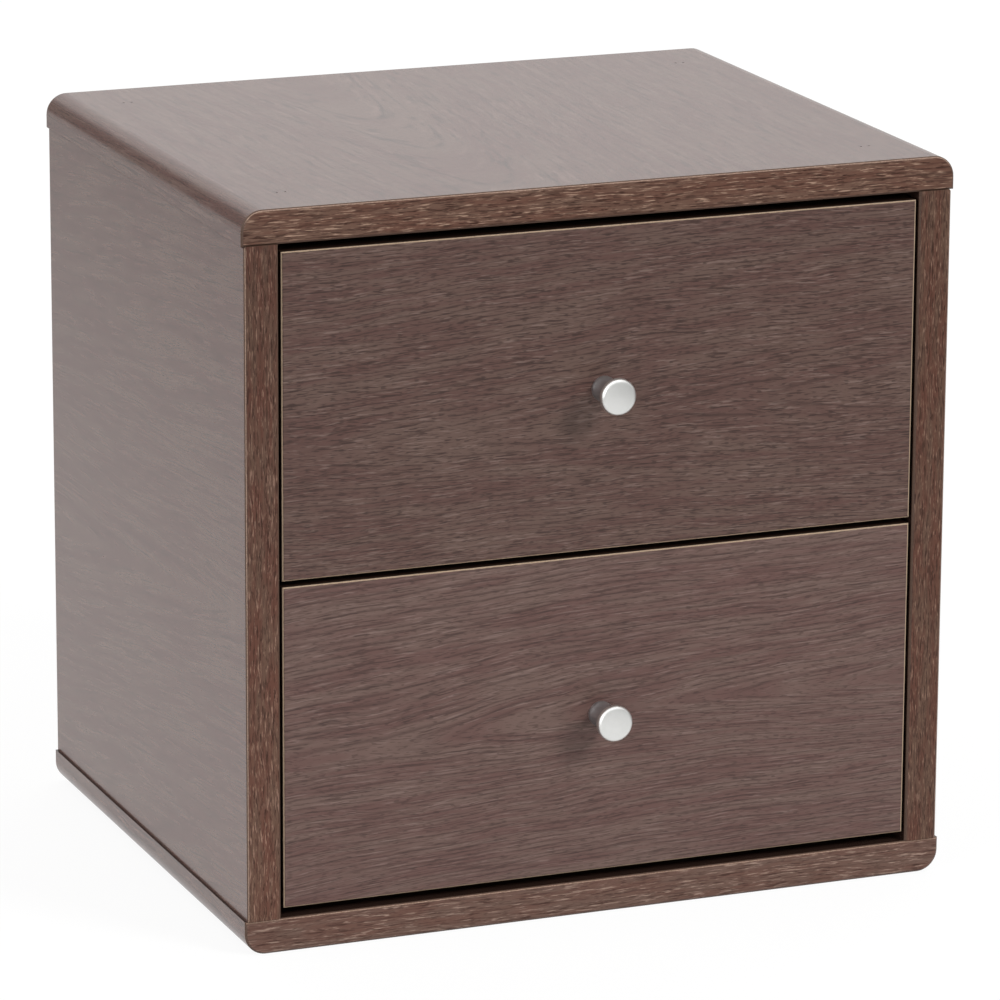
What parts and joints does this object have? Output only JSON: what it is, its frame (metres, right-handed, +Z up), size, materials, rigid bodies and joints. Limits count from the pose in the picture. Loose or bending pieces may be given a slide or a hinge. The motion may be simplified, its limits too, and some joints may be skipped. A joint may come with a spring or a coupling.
{
  "type": "drawer storage cube",
  "caption": "Stackable wood-grain storage cube: a board case with rounded panel ends that holds inset drawers with round satin knobs, running on side strips.",
  "frame": {"origin": "centre of the underside of the case, on the surface that it stands on", "axes": "+Z up, -Y out of the drawer fronts, +X to the right as seen from the front"},
  "size_m": [0.3468, 0.299, 0.345],
  "materials": {
    "case_board": "satin wood-grain wrap on board",
    "edge_band": "streaked wood-grain edge band",
    "drawer_front": "satin wood-grain wrap with raw tan edges",
    "drawer_box": "plain pale paper-faced board",
    "hardboard": "smooth hardboard",
    "runner_strip": "planed softwood",
    "dowel_wood": "plain beech",
    "fitting_zinc": "die-cast zinc",
    "screw_steel": "zinc-plated steel",
    "knob_metal": "satin nickel plate"
  },
  "bodies": {
    "carcass": {"top_panel": "case_board", "bottom_panel": "case_board", "left_side_panel": "case_board", "right_side_panel": "case_board", "back_panel": "hardboard", "top_edge_band": "edge_band", "bottom_edge_band": "edge_band", "left_edge_band": "edge_band", "right_edge_band": "edge_band", "carcass_dowels": "dowel_wood", "carcass_cam_bolts": "screw_steel", "carcass_cam_discs": "fitting_zinc", "upper_left_runner": "runner_strip", "upper_right_runner": "runner_strip", "lower_left_runner": "runner_strip", "lower_right_runner": "runner_strip", "runner_screws": "screw_steel"},
    "upper_drawer": {"upper_drawer_front": "drawer_front", "upper_drawer_left_side": "drawer_box", "upper_drawer_right_side": "drawer_box", "upper_drawer_back": "drawer_box", "upper_drawer_bottom": "hardboard", "upper_drawer_dowels": "dowel_wood", "upper_drawer_cam_bolts": "screw_steel", "upper_drawer_cam_discs": "fitting_zinc", "upper_drawer_back_screws": "screw_steel", "upper_drawer_knob": "knob_metal", "upper_drawer_knob_screw": "screw_steel"},
    "lower_drawer": {"lower_drawer_front": "drawer_front", "lower_drawer_left_side": "drawer_box", "lower_drawer_right_side": "drawer_box", "lower_drawer_back": "drawer_box", "lower_drawer_bottom": "hardboard", "lower_drawer_dowels": "dowel_wood", "lower_drawer_cam_bolts": "screw_steel", "lower_drawer_cam_discs": "fitting_zinc", "lower_drawer_back_screws": "screw_steel", "lower_drawer_knob": "knob_metal", "lower_drawer_knob_screw": "screw_steel"}
  },
  "joints": [
    {"name": "upper_drawer_slide", "type": "slide", "parent": "carcass", "child": "upper_drawer", "axis": [0, -1, 0], "range_m": [0, 0.18]},
    {"name": "lower_drawer_slide", "type": "slide", "parent": "carcass", "child": "lower_drawer", "axis": [0, -1, 0], "range_m": [0, 0.18]}
  ]
}
